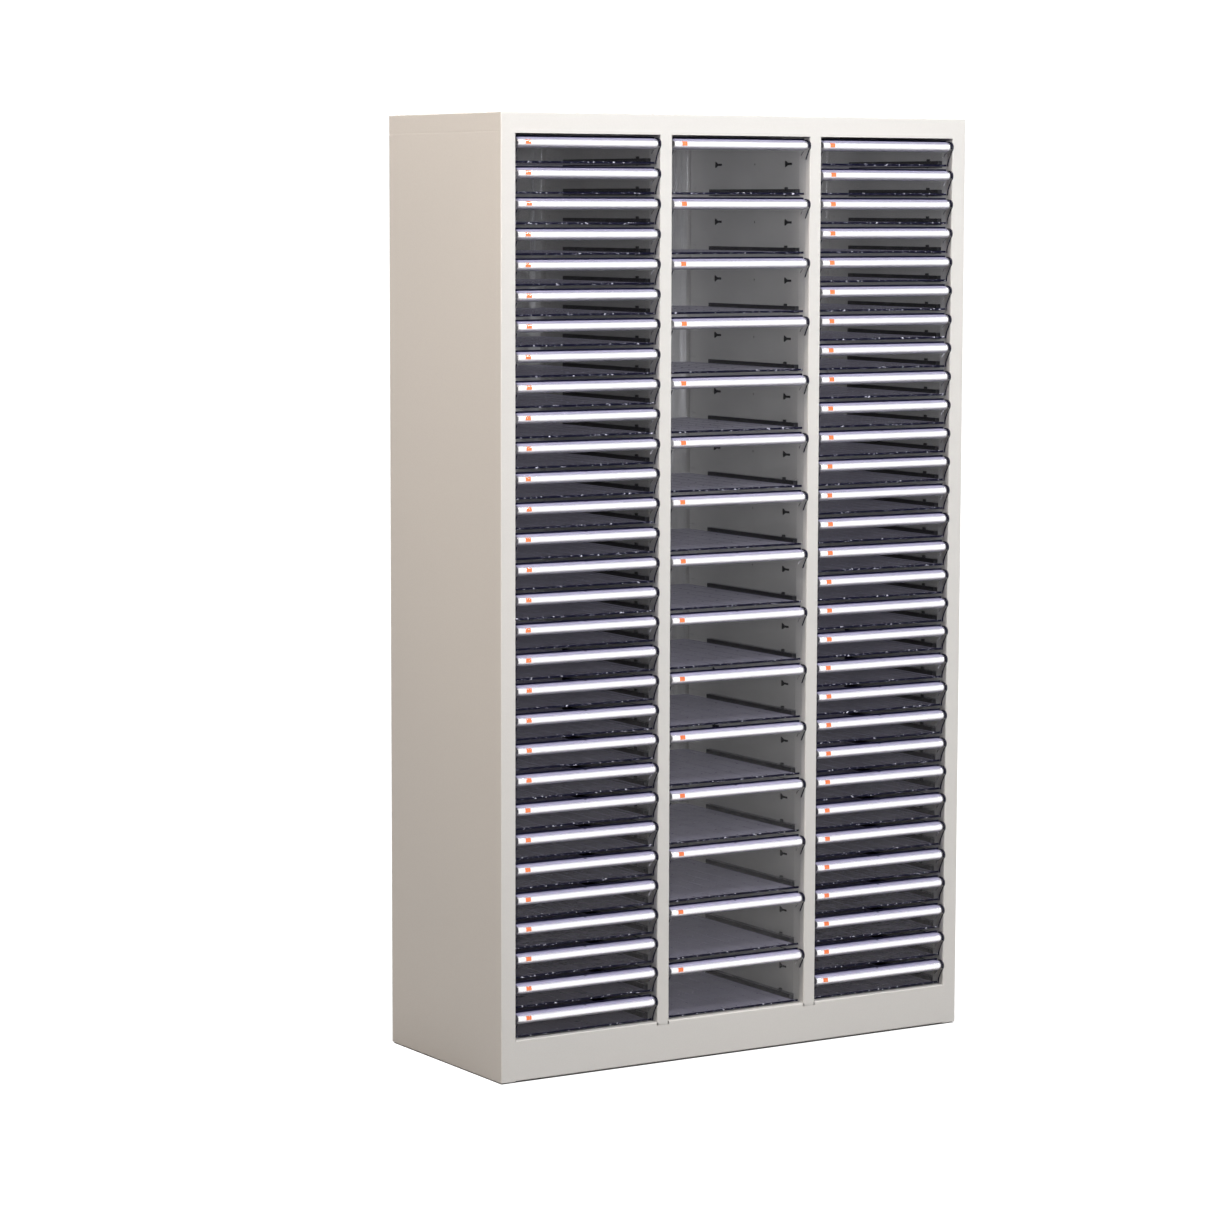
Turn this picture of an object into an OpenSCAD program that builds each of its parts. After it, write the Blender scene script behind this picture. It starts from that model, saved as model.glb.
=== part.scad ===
// Free-standing sheet-steel drawer cabinet with three columns of smoke-clear
// plastic trays. The outer columns hold low trays, one to a row. The middle
// column holds tall trays, one to two rows. Every tray slides out to the front
// on a pair of clip-in runners and carries a bulged clear label bar.
//
// Millimetres. Origin: centre of the footprint on the floor. +X right, -Y is
// the front (trays slide towards -Y), +Z up. A "depth" is counted backwards
// from the front face, and z inside a tray from the bottom of its cell.

/* [Cabinet] */
// Overall width
cabinet_w = 820; // [790:1:860]
// Overall depth, from the label bars to the rivet heads at the back
cabinet_d = 336; // [334:1:400]
// Height of the plinth below the lowest trays
plinth_h = 62; // [40:1:120]
// Height of the front rail at the top
top_rail_h = 30; // [24:1:60]
// Height of the top cap's skirt on the sides and back
cap_skirt_h = 27; // [18:1:28]
// Face width of the outer stiles
stile_w = 24.5; // [18:0.5:32]
// Face width of the partitions between the columns
partition_w = 21; // [14:0.5:26]
// Thickness of the sheet steel
sheet = 1; // [0.8:0.1:1.4]
// Outside radius of the folds
fold_r = 2; // [1.6:0.1:3]

/* [Trays] */
// Height of one row; a middle tray takes two rows
row_pitch = 43.6; // [42:0.2:60]
// Wall thickness of the moulded trays
tray_wall = 2; // [1.5:0.1:2.5]
// Outside length of a tray, from its front wall to its rear wall
tray_len = 305; // [303:1:310]
// Height of the label bar
label_h = 16; // [12:1:20]
// Space left above a label bar in its cell
label_gap = 5; // [4:0.5:8]

/* [Runners] */
// How far a runner stands off the wall
runner_t = 8; // [6:0.5:9]
// Height of a runner
runner_h = 10; // [8:0.5:11]
// Length of a runner
runner_len = 234; // [232:1:250]
// Depth of a runner's front end behind the front face
runner_front = 26; // [20:0.5:30]

/* [Fasteners] */
// Radius of the wall-fixing holes in the back panel
wall_hole_r = 3.25; // [2.5:0.25:4]
// Distance between the two wall-fixing holes
wall_hole_spacing = 528; // [400:1:600]
// Height of the nylon glides under the cabinet
glide_h = 1.5; // [1:0.5:4]

/* [Hidden] */

rows = 30;
bar_proud = 4;      // label bars stand this far out of the front face
rivet_head_h = 1.5; // rivet heads stand this far out of the back
front_y = -cabinet_d / 2 + bar_proud;
rear_y = cabinet_d / 2 - rivet_head_h;
body_d = rear_y - front_y;
half_w = cabinet_w / 2;
open_w = (cabinet_w - 2 * stile_w - 2 * partition_w) / 3; // width of a column
col_x = open_w + partition_w;      // from one column's centre to the next
wall_x = half_w - stile_w;         // inner face of the outer walls
cells_z = plinth_h;
cells_top = cells_z + rows * row_pitch;
cabinet_h = cells_top + top_rail_h;
body_z = glide_h;                  // lower edge of the sheet steel
seam_z = cabinet_h - cap_skirt_h;  // side and rear seam under the cap

seam_gap = 0.15;                   // paint gap in a butt seam
overcut = 1;                       // cutters reach this far past a face
fold_in = fold_r - sheet;          // inside radius of the folds
return_d = 14;                     // depth of the stiles' return flanges

// Liners and partitions
wall_rear_y = rear_y - 6;
wall_z = cells_z - 0.7;
wall_h = cells_top - cells_z + 0.6;
tongue_h = 5;                      // partition tongue in front of the plinth

// Hook slots and square peep holes in the walls, as depths
slot_depths = [57, 247];
peep_depth = 145;
peep_size = 3;
slot_lift = 4;                     // height of their centres in a row
// Outline of a slot: an upright bar with a tail to the front, as
// [depth, z] from the slot's place
slot_outline = [
  [5.5, -4.75], [9.5, -4.75], [9.5, 4.75], [5.5, 4.75],
  [0.5, 1.75], [-10.5, 1.75], [-10.5, -1.75], [0.5, -1.75]];

// Rivets and glides
rivet_x = half_w - 8;
rivet_rows = 5;
rivet_end = 90;                    // from the floor or the seam to a rivet
rivet_hole_r = 1.7;
glide_x = half_w - 13;
glide_y = cabinet_d / 2 - 30;
peg = 8;                           // side of a glide's square peg
peg_hole = peg + 0.2;

// Trays
tray_gap = 1;
tray_half = (open_w - 2 * runner_t - 2 * tray_gap) / 2;
tray_front = 10;                   // depth of the tray's front wall
tray_rear = tray_front + tray_len;
tray_z = 1.5;                      // underside of the tray's floor
flange_z = runner_h + 0.3;
flange_w = runner_t - 3;
front_half = open_w / 2 - 0.8;     // half width of the tray's front moulding
cheek_t = 2.2;
label_half = front_half - cheek_t; // half width between the cheeks
bar_back = 9.6;                    // depth of the label bar's back
cheek_rim = 0.6;                   // cheeks stand this far above the bar
// Front edge of a cheek under the label bar: [depth, distance below the bar]
cheek_edge = [[2.2, 2.5], [5.2, 7.5], [7.7, 12.5], [9, 17]];
cheek_foot = 9.2;                  // depth of the edge's lower end

paint_color = [0.83, 0.82, 0.79];
side_color = [0.75, 0.71, 0.67];
runner_color = [0.13, 0.13, 0.14];
smoke_color = [0.36, 0.36, 0.42, 0.55];
clear_color = [0.88, 0.88, 0.94, 0.6];
card_color = [0.98, 0.98, 0.98];
tab_color = [0.95, 0.48, 0.14];
steel_color = [0.7, 0.7, 0.7];
nylon_color = [0.2, 0.2, 0.2];

// ---- Helpers ----

function reversed(points) = [for (i = [len(points) - 1:-1:0]) points[i]];

// Points of an arc between two angles, in three steps
function arc(centre, radius, from, to) =
  [for (i = [0:3]) let (a = from + (to - from) * i / 3)
    [centre[0] + radius * cos(a), centre[1] + radius * sin(a)]];

// Points of a row of folds, each [centre, start angle, end angle]
function bends(folds, radius = fold_r) =
  [for (fold = folds, point = arc(fold[0], radius, fold[1], fold[2])) point];

// Outline of a folded sheet; start and end are [outside, inside] points
function folded(start, folds, end) =
  concat([start[0]], bends(folds), end, reversed(bends(folds, fold_in)), [start[1]]);

// Bulged front curve of the label bar as [depth, z], from the top down to
// the angle low: half height, reach to the front, depth of its back, centre z
function bulge(half_h, reach, back, mid_z, low = -90) =
  [for (i = [0:10]) let (a = 90 + (low - 90) * i / 10, s = sin(a), c = cos(a))
    [back - reach * pow(max(c, 0), 0.8),
      mid_z + half_h * sign(s) * pow(abs(s), 0.9)]];

// A [depth, z] profile extruded along X from x
module along_x(x, length) {
  translate([x, front_y, 0]) rotate([90, 0, 90]) linear_extrude(length) children();
}

// A box given by its x range, depth range and z range
module span_box(x, depth, z) {
  translate([x[0], front_y + depth[0], z[0]])
    cube([x[1] - x[0], depth[1] - depth[0], z[1] - z[0]]);
}

// Cutter for a round hole from behind the back of the cabinet
module rear_bore(x, z, radius, length, facets) {
  translate([x, rear_y + overcut, z]) rotate([90, 0, 0])
    cylinder(r = radius, h = length, $fn = facets);
}

// ---- Cabinet ----

// Cutters for all rows of slots and peep holes in a wall
module slot_rows(x, length) {
  for (row = [0:rows - 1], z = cells_z + row * row_pitch + slot_lift) {
    for (depth = slot_depths)
      along_x(x, length) polygon([for (p = slot_outline) [depth + p[0], z + p[1]]]);
    along_x(x, length) translate([peep_depth, z - peep_size / 2])
      square([peep_size, peep_size]);
  }
}

// Plan of a side panel: rear flange, side skin, stile and return flange
module side_profile() {
  flange_x = -half_w + 16;
  return_y = front_y + return_d;
  polygon(folded(
    [[flange_x, rear_y], [flange_x, rear_y - sheet]],
    [[[-half_w + fold_r, rear_y - fold_r], 90, 180],
      [[-half_w + fold_r, front_y + fold_r], 180, 270],
      [[-wall_x - fold_r, front_y + fold_r], 270, 360]],
    [[-wall_x, return_y], [-wall_x - sheet, return_y]]));
}

function rivet_z(i) = rivet_end + i * (seam_z - 2 * rivet_end) / (rivet_rows - 1);

module side_panel() {
  skin_d = body_d - 2 * fold_r;
  skin_z = cells_top - 1; // laps the profile below
  difference() {
    union() {
      translate([0, 0, body_z]) linear_extrude(cells_top - body_z)
        side_profile();
      // side skin between the stile's head and the seam under the cap
      translate([-half_w, front_y + fold_r, skin_z])
        cube([sheet, skin_d, seam_z - seam_gap - skin_z]);
      // bottom flange that carries the glides
      translate([-half_w + 0.5, front_y + fold_r, body_z])
        cube([stile_w - 2, skin_d, sheet]);
    }
    for (i = [0:rivet_rows - 1])
      rear_bore(-rivet_x, rivet_z(i), rivet_hole_r, length = 4, facets = 24);
    for (side = [-1, 1])
      translate([-glide_x - peg_hole / 2, side * glide_y - peg_hole / 2, body_z - overcut])
        cube([peg_hole, peg_hole, 4]);
  }
}

module left_side_panel() { color(side_color) side_panel(); }
module right_side_panel() { color(side_color) mirror([1, 0, 0]) side_panel(); }

// Inner wall of the left column, with the hook slots punched in it
module liner() {
  front = front_y + return_d + seam_gap;
  lip_x = -wall_x - 14;
  difference() {
    translate([0, 0, wall_z]) linear_extrude(wall_h)
      polygon(folded(
        [[-wall_x, front], [-wall_x - sheet, front]],
        [[[-wall_x - fold_r, wall_rear_y - fold_r], 0, 90]],
        [[lip_x, wall_rear_y], [lip_x, wall_rear_y - sheet]]));
    slot_rows(-wall_x - 2 * overcut, 3 * overcut);
  }
}

module left_liner() { color(paint_color) liner(); }
module right_liner() { color(paint_color) mirror([1, 0, 0]) liner(); }

// Hollow folded partition centred on x, open at the back, with slots in
// both skins
module partition(x) {
  half = partition_w / 2;
  lip_x = half - 7;
  fold_x = half - fold_r;
  front = front_y + fold_r;
  rear = wall_rear_y - fold_r;
  difference() {
    union() {
      translate([x, 0, wall_z]) linear_extrude(wall_h)
        polygon(folded(
          [[-lip_x, wall_rear_y], [-lip_x, wall_rear_y - sheet]],
          [[[-fold_x, rear], 90, 180], [[-fold_x, front], 180, 270],
            [[fold_x, front], 270, 360], [[fold_x, rear], 0, 90]],
          [[lip_x, wall_rear_y], [lip_x, wall_rear_y - sheet]]));
      // tongue that laps the plinth
      translate([x - fold_x, front_y, cells_z - tongue_h])
        cube([2 * fold_x, sheet, tongue_h + 1]);
    }
    slot_rows(x - half - overcut, partition_w + 2 * overcut);
  }
}

module left_partition() { color(paint_color) partition(-col_x / 2); }
module right_partition() { color(paint_color) partition(col_x / 2); }

// Folded lid: front rail with a return lip, side and rear skirts, and inner
// tongues that locate it inside the side panels
module top_cap() {
  fold_x = half_w - fold_r;
  fold_z = cabinet_h - fold_r;
  tongue_inset = 20; // from the front and back faces
  tongue_drop = 12;  // below the seam
  color(paint_color) {
    difference() {
      // block rounded in plan, side view and rear view
      intersection() {
        translate([0, 0, cells_top + seam_gap]) linear_extrude(top_rail_h - seam_gap)
          polygon(bends([
            [[-fold_x, front_y + fold_r], 180, 270],
            [[fold_x, front_y + fold_r], 270, 360],
            [[fold_x, rear_y - fold_r], 0, 90],
            [[-fold_x, rear_y - fold_r], 90, 180]]));
        along_x(-half_w, cabinet_w)
          polygon(concat([[0, cells_top]],
            bends([[[fold_r, fold_z], 180, 90], [[body_d - fold_r, fold_z], 90, 0]]),
            [[body_d, cells_top]]));
        translate([0, rear_y, 0]) rotate([90, 0, 0]) linear_extrude(body_d)
          polygon(concat([[-half_w, cells_top]],
            bends([[[-fold_x, fold_z], 180, 90], [[fold_x, fold_z], 90, 0]]),
            [[half_w, cells_top]]));
      }
      // inside of the lid
      span_box([-half_w + sheet, half_w - sheet], [sheet, body_d - sheet],
        [cells_top - overcut, cabinet_h - sheet]);
      // the side and rear skirts are shorter than the front rail
      span_box([-half_w - overcut, half_w + overcut], [fold_r, body_d + overcut],
        [cells_top - overcut, seam_z]);
    }
    // return lip under the front rail
    span_box([-wall_x, wall_x], [0.5, return_d],
      [cells_top + seam_gap, cells_top + seam_gap + sheet]);
    for (side = [-1, 1])
      translate([side * (half_w - 1.6 * sheet) - sheet / 2, front_y + tongue_inset,
        seam_z - tongue_drop])
        cube([sheet, body_d - 2 * tongue_inset, cap_skirt_h + tongue_drop - sheet / 2]);
  }
}

module back_panel() {
  inset = 2.4; // from the cabinet's sides
  color(paint_color) difference() {
    translate([-half_w + inset, rear_y - 2 * sheet - 0.1, body_z + 2])
      cube([cabinet_w - 2 * inset, sheet, cabinet_h - body_z - 6]);
    for (side = [-1, 1], i = [0:rivet_rows - 1])
      rear_bore(side * rivet_x, rivet_z(i), rivet_hole_r, length = 5, facets = 24);
    for (side = [-1, 1])
      rear_bore(side * wall_hole_spacing / 2, seam_z - 25, wall_hole_r,
        length = 6, facets = 32);
  }
}

// Bottom deck under the lowest trays, folded down at the front and back
module floor_panel() {
  front = return_d + 3;
  rear = body_d - 8;
  top = cells_z - 1;
  lip_z = top - 22;
  clearance = 0.2;
  color(paint_color) along_x(-wall_x + clearance, 2 * (wall_x - clearance))
    polygon(folded(
      [[front, lip_z], [front + sheet, lip_z]],
      [[[front + fold_r, top - fold_r], 180, 90], [[rear - fold_r, top - fold_r], 90, 0]],
      [[rear, lip_z], [rear - sheet, lip_z]]));
}

// Tall base rail between the stiles, with a rounded lip along its top
module plinth() {
  lip_d = return_d + 2;
  clearance = 0.1;
  notch_half = partition_w / 2 + seam_gap;
  color(paint_color) difference() {
    along_x(-wall_x + clearance, 2 * (wall_x - clearance))
      polygon(folded(
        [[lip_d, cells_z], [lip_d, cells_z - sheet]],
        [[[fold_r, cells_z - fold_r], 90, 180], [[fold_r, body_z + fold_r], 180, 270]],
        [[return_d, body_z], [return_d, body_z + sheet]]));
    // notches for the partitions
    for (side = [-1, 1])
      span_box([side * col_x / 2 - notch_half, side * col_x / 2 + notch_half],
        [-overcut, lip_d + overcut],
        [cells_z - tongue_h - seam_gap, cells_z + overcut]);
  }
}

// Clip-in runner on the left wall of a column whose wall face is at x = 0:
// a channel with a stop bump on top and two hooks through the wall slots
module runner(z) {
  top = z + runner_h;
  wall_gap = 0.1;
  bump_front = runner_front + 31;
  channel_wall = 1.8;
  difference() {
    union() {
      span_box([wall_gap, runner_t], [runner_front, runner_front + runner_len], [z, top]);
      // stop bump against the wall
      span_box([wall_gap, 2.4], [bump_front, bump_front + 6], [top - 0.5, top + 3]);
    }
    // channel on the wall side, between the hook blocks
    for (depths = [[runner_front + 8, slot_depths[0] - 2],
        [slot_depths[0] + 18, slot_depths[1] - 2]])
      span_box([-overcut, runner_t - channel_wall], depths,
        [z + channel_wall, top - channel_wall]);
  }
  // hooks in the upright part of the slots
  for (depth = slot_depths)
    span_box([-2.4, 0.6], [depth + 6, depth + 9], [z + 0.5, z + 7.5]);
}

// Runner pairs of the column centred on x, one pair to every row_step rows
module column_runners(x, row_step) {
  for (row = [0:row_step:rows - 1], m = [0, 1])
    translate([x, 0, 0]) mirror([m, 0, 0]) translate([-open_w / 2, 0, 0])
      runner(cells_z + row * row_pitch);
}

module left_column_runners() { color(runner_color) column_runners(-col_x, 1); }
module middle_column_runners() { color(runner_color) column_runners(0, 2); }
module right_column_runners() { color(runner_color) column_runners(col_x, 1); }

module back_rivets() {
  shank_len = 3.4; // from the back face inwards
  color(steel_color) for (side = [-1, 1], i = [0:rivet_rows - 1])
    translate([side * rivet_x, rear_y, rivet_z(i)]) rotate([-90, 0, 0]) union() {
      cylinder(r1 = 3.4, r2 = 2.4, h = rivet_head_h, $fn = 24);
      translate([0, 0, -shank_len]) cylinder(r = 1.6, h = shank_len + 0.5, $fn = 24);
    }
}

// Round feet with square pegs up into the side panels
module glides() {
  color(nylon_color) for (x = [-1, 1], y = [-1, 1])
    translate([x * glide_x, y * glide_y, 0]) union() {
      cylinder(r = 10, h = glide_h, $fn = 32);
      translate([-peg / 2, -peg / 2, 0]) cube([peg, peg, glide_h + 6]);
    }
}

// ---- Trays ----

// Centre height of the label bar in a cell
function bar_z(cell_h) = cell_h - label_gap - label_h / 2;

// One moulded tray with the cheeks of its label bar
module tray(cell_h) {
  bar_top = cell_h - label_gap;
  bar_bottom = bar_top - label_h;
  wall_top = bar_top - 3;
  wall_front = tray_front + 1;
  front_back = tray_front + tray_wall; // depth of the front wall's back
  cheek_back = bar_back + 0.2;
  flange_x = tray_half + flange_w;
  flange_span = [flange_z, flange_z + tray_wall];
  lap = 0.5; // overlap of joined parts
  union() {
    span_box([-tray_half, tray_half], [tray_front + lap, tray_rear],
      [tray_z, tray_z + tray_wall]);
    for (m = [0, 1]) mirror([m, 0, 0]) {
      span_box([tray_half - tray_wall, tray_half], [wall_front, tray_rear],
        [tray_z, wall_top]);
      // flange that rides on the runner, and the lug that meets its stop
      span_box([tray_half - lap, flange_x], [wall_front, tray_rear], flange_span);
      span_box([flange_x - lap, open_w / 2 - 0.9], [tray_rear - 6, tray_rear], flange_span);
      // cheek at the end of the label bar
      along_x(label_half, cheek_t)
        polygon(concat([[front_back, tray_z], [front_back, bar_top + cheek_rim]],
          bulge(label_h / 2 + cheek_rim, cheek_back + bar_proud, cheek_back,
            bar_z(cell_h), low = -50),
          [for (p = cheek_edge) [p[0], bar_bottom - p[1]]],
          [[cheek_foot, tray_z]]));
    }
    // rear wall
    span_box([-tray_half, tray_half], [tray_rear - tray_wall, tray_rear],
      [tray_z, wall_top - 2]);
    // front wall, up to the top of the label bar that it carries
    span_box([-label_half - lap, label_half + lap], [tray_front, front_back],
      [tray_z, bar_top]);
  }
}

// Clear snap-on cover of the label bar
module label_cover(cell_h) {
  mid_z = bar_z(cell_h);
  half_h = label_h / 2;
  reach = bar_back + bar_proud - 0.4;
  cover_t = 1.1;
  half = label_half - 0.3;
  along_x(-half, 2 * half)
    polygon(concat(bulge(half_h, reach, bar_back, mid_z),
      reversed(bulge(half_h - cover_t, reach - cover_t, bar_back, mid_z))));
}

// Paper label behind the cover
module label_card(cell_h) {
  half_h = label_h / 2 - 2;
  span_box([-label_half + 11, label_half - 8], [bar_back - 1, bar_back - 0.6],
    [bar_z(cell_h) - half_h, bar_z(cell_h) + half_h]);
}

// Coloured index tab in front of the card's left end
module index_tab(cell_h) {
  span_box([-label_half + 12, -label_half + 22], [bar_back - 1.8, bar_back - 1.2],
    [bar_z(cell_h) - 3.5, bar_z(cell_h) + 4.5]);
}

// A tray with its label parts, in the cell that starts at height z
module drawer(x, z, cell_h) {
  translate([x, 0, z]) {
    color(smoke_color) tray(cell_h);
    color(clear_color) label_cover(cell_h);
    color(card_color) label_card(cell_h);
    color(tab_color) index_tab(cell_h);
  }
}

// Bottom of a row, counted from 1 at the top
function row_z(row) = cells_top - row * row_pitch;

module drawer_pair(x, row) {
  drawer(x, row_z(row), row_pitch);
  drawer(x, row_z(row + 1), row_pitch);
}

// Outer drawers go by their upper row, middle drawers by their own number
module left_drawers(row) { drawer_pair(-col_x, row); }
module right_drawers(row) { drawer_pair(col_x, row); }
module middle_drawer(number) { drawer(0, row_z(2 * number), 2 * row_pitch); }

left_side_panel();
right_side_panel();
left_liner();
right_liner();
left_partition();
right_partition();
top_cap();
back_panel();
floor_panel();
plinth();
left_column_runners();
middle_column_runners();
right_column_runners();
back_rivets();
glides();
left_drawers(1);  // left_drawers_01_02
left_drawers(3);  // left_drawers_03_04
left_drawers(5);  // left_drawers_05_06
left_drawers(7);  // left_drawers_07_08
left_drawers(9);  // left_drawers_09_10
left_drawers(11);  // left_drawers_11_12
left_drawers(13);  // left_drawers_13_14
left_drawers(15);  // left_drawers_15_16
left_drawers(17);  // left_drawers_17_18
left_drawers(19);  // left_drawers_19_20
left_drawers(21);  // left_drawers_21_22
left_drawers(23);  // left_drawers_23_24
left_drawers(25);  // left_drawers_25_26
left_drawers(27);  // left_drawers_27_28
left_drawers(29);  // left_drawers_29_30
middle_drawer(1);  // middle_drawer_01
middle_drawer(2);  // middle_drawer_02
middle_drawer(3);  // middle_drawer_03
middle_drawer(4);  // middle_drawer_04
middle_drawer(5);  // middle_drawer_05
middle_drawer(6);  // middle_drawer_06
middle_drawer(7);  // middle_drawer_07
middle_drawer(8);  // middle_drawer_08
middle_drawer(9);  // middle_drawer_09
middle_drawer(10);  // middle_drawer_10
middle_drawer(11);  // middle_drawer_11
middle_drawer(12);  // middle_drawer_12
middle_drawer(13);  // middle_drawer_13
middle_drawer(14);  // middle_drawer_14
middle_drawer(15);  // middle_drawer_15
right_drawers(1);  // right_drawers_01_02
right_drawers(3);  // right_drawers_03_04
right_drawers(5);  // right_drawers_05_06
right_drawers(7);  // right_drawers_07_08
right_drawers(9);  // right_drawers_09_10
right_drawers(11);  // right_drawers_11_12
right_drawers(13);  // right_drawers_13_14
right_drawers(15);  // right_drawers_15_16
right_drawers(17);  // right_drawers_17_18
right_drawers(19);  // right_drawers_19_20
right_drawers(21);  // right_drawers_21_22
right_drawers(23);  // right_drawers_23_24
right_drawers(25);  // right_drawers_25_26
right_drawers(27);  // right_drawers_27_28
right_drawers(29);  // right_drawers_29_30
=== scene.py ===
"""A sheet-steel cabinet with three columns of clear drawers, each with a label bar.

X runs left to right, Y from front to rear and Z up; the cabinet stands on z = 0.
Meshes are drawn in millimetres and scaled to metres. Tray coordinates are
(x, d, z): x from the middle of the tray, d behind the front plane of the sheet
steel, z above the bottom of the drawer's cell.
"""

import math
import random

import bmesh
import bpy
from mathutils import Matrix, Vector


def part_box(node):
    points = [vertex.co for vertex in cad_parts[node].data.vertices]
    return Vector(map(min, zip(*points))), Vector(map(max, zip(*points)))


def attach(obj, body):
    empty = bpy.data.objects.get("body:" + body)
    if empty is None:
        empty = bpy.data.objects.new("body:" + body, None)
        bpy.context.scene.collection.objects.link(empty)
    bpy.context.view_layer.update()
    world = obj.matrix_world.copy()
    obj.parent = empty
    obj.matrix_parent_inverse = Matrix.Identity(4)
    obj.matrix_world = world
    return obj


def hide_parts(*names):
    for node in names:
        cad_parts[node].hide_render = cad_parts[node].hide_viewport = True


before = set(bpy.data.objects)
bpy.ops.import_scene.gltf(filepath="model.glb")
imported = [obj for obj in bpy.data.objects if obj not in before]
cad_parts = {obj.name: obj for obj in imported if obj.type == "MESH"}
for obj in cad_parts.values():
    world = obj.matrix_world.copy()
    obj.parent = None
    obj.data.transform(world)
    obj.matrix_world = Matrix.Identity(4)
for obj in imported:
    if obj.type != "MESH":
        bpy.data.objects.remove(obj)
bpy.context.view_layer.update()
scene = bpy.context.scene
MM = 0.001

# ---------------------------------------------------------------- sizes, mm
PLINTH_LO, PLINTH_HI = (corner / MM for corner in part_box("plinth"))
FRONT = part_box("plinth")[0].y / MM          # front plane of the sheet steel
PITCH = 43.6                                # height of a low cell; a tall one is double
OPEN_W = 243.0                              # clear width of a column
RUNNER_T, RUNNER_H = 8.0, 10.0

# tray body
TRAY_W = OPEN_W / 2 - RUNNER_T - 1.0        # half width
TRAY_FRONT, TRAY_LEN, TRAY_Z, WALL = 10.0, 305.0, 1.5, 2.0
REAR = TRAY_FRONT + TRAY_LEN
FLOOR_TOP = TRAY_Z + WALL
FRONT_INNER = TRAY_FRONT + WALL             # rear face of the front wall
SHELL_FRONT = TRAY_FRONT + 0.6
FLANGE_Z, FLANGE_W = RUNNER_H + 0.3, RUNNER_T - 3.0

# label bar across the front, between two cheeks
LABEL_H, LABEL_GAP = 16.0, 5.0
BAR_HALF = LABEL_H / 2
FRONT_HALF, CHEEK_T = OPEN_W / 2 - 0.8, 2.2
CHEEK_IN = FRONT_HALF - CHEEK_T             # inner face of a cheek
BAR_BACK, PROUD = 9.6, 4.0
CHEEK_BACK = BAR_BACK + 0.2
COVER_HALF = CHEEK_IN - 0.3                 # half length of the cover
COVER_DEPTH = BAR_BACK + PROUD - 0.4

# sheet steel
SHEET = 1.0
HALF_P = 10.5                               # half thickness of a partition
COL_X = OPEN_W + 2 * HALF_P                 # column pitch
WALL_X = COL_X + OPEN_W / 2                 # inner face of a side liner
CASE_HALF, RAIL_Z = 410.0, 1370.0
FOLD = 1.8


# ---------------------------------------------------------------- mesh tools
def link_object(name, mesh):
    obj = bpy.data.objects.new(name, mesh)
    scene.collection.objects.link(obj)
    return obj


def new_object(name, verts, faces):
    mesh = bpy.data.meshes.new(name)
    mesh.from_pydata([tuple(v) for v in verts], [], [tuple(f) for f in faces])
    mesh.validate()
    bm = bmesh.new()
    bm.from_mesh(mesh)
    bmesh.ops.recalc_face_normals(bm, faces=bm.faces)
    bm.to_mesh(mesh)
    bm.free()
    return link_object(name, mesh)


def shade(mesh, degrees):
    """Smooth shading, sharp across edges steeper than the angle."""
    mesh.shade_smooth()
    mesh.set_sharp_from_angle(angle=math.radians(degrees))


def at(x, d, z):
    """Tray coordinates to mesh coordinates, still in mm."""
    return (x, FRONT + d, z)


def loft(name, rings):
    """Closed tube through rings of equal length; the end rings are capped."""
    n = len(rings[0])
    verts = [p for ring in rings for p in ring]
    faces = []
    for r in range(len(rings) - 1):
        for i in range(n):
            j = (i + 1) % n
            faces.append((r * n + i, r * n + j, (r + 1) * n + j, (r + 1) * n + i))
    faces.append(tuple(range(n - 1, -1, -1)))
    faces.append(tuple((len(rings) - 1) * n + i for i in range(n)))
    return new_object(name, verts, faces)


def prism(name, profile, xs):
    """A (d, z) profile drawn out along X."""
    return loft(name, [[at(x, d, z) for d, z in profile] for x in xs])


def slab(name, xs, ds, zs):
    return prism(name, [(ds[0], zs[0]), (ds[1], zs[0]), (ds[1], zs[1]), (ds[0], zs[1])], xs)


def span(side, a, b):
    """The X range between a and b, mirrored where side is -1."""
    return sorted((side * a, side * b))


def bulge(half_height, depth, back, mid_z, low=-90.0, high=90.0, steps=24):
    """(d, z) points down a rounded, slightly squared front, between two angles."""
    points = []
    for i in range(steps + 1):
        a = math.radians(high + (low - high) * i / steps)
        s, c = math.sin(a), math.cos(a)
        points.append((back - depth * max(c, 0.0) ** 0.8,
                       mid_z + half_height * math.copysign(abs(s) ** 0.9, s)))
    return points


def bowed(outer, inner, *curve):
    """Closed section between two bulges, each given as (half height, depth)."""
    return bulge(*outer, *curve) + list(reversed(bulge(*inner, *curve)))


def arc(cx, cy, r, a0, a1, n):
    return [
        (cx + r * math.cos(math.radians(a0 + (a1 - a0) * i / n)),
         cy + r * math.sin(math.radians(a0 + (a1 - a0) * i / n)))
        for i in range(n + 1)
    ]


def oval(cx, cy, rx, ry, step):
    """Points on an ellipse, one every step degrees."""
    return [(cx + rx * math.cos(math.radians(a)), cy + ry * math.sin(math.radians(a)))
            for a in range(0, 360, step)]


def drop(obj):
    mesh = obj.data
    bpy.data.objects.remove(obj)
    if mesh.users == 0:
        bpy.data.meshes.remove(mesh)


def join(objects, name):
    bm = bmesh.new()
    for obj in objects:
        bm.from_mesh(obj.data)
    mesh = bpy.data.meshes.new(name)
    bm.to_mesh(mesh)
    bm.free()
    for obj in objects:
        drop(obj)
    return link_object(name, mesh)


def apply_modifiers(obj):
    depsgraph = bpy.context.evaluated_depsgraph_get()
    mesh = bpy.data.meshes.new_from_object(obj.evaluated_get(depsgraph))
    old = obj.data
    obj.modifiers.clear()
    obj.data = mesh
    mesh.name = obj.name
    if old.users == 0:
        bpy.data.meshes.remove(old)


def boolean(obj, other, operation):
    modifier = obj.modifiers.new("boolean", "BOOLEAN")
    modifier.solver = "EXACT"
    modifier.operation = operation
    modifier.object = other
    apply_modifiers(obj)
    drop(other)


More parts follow.
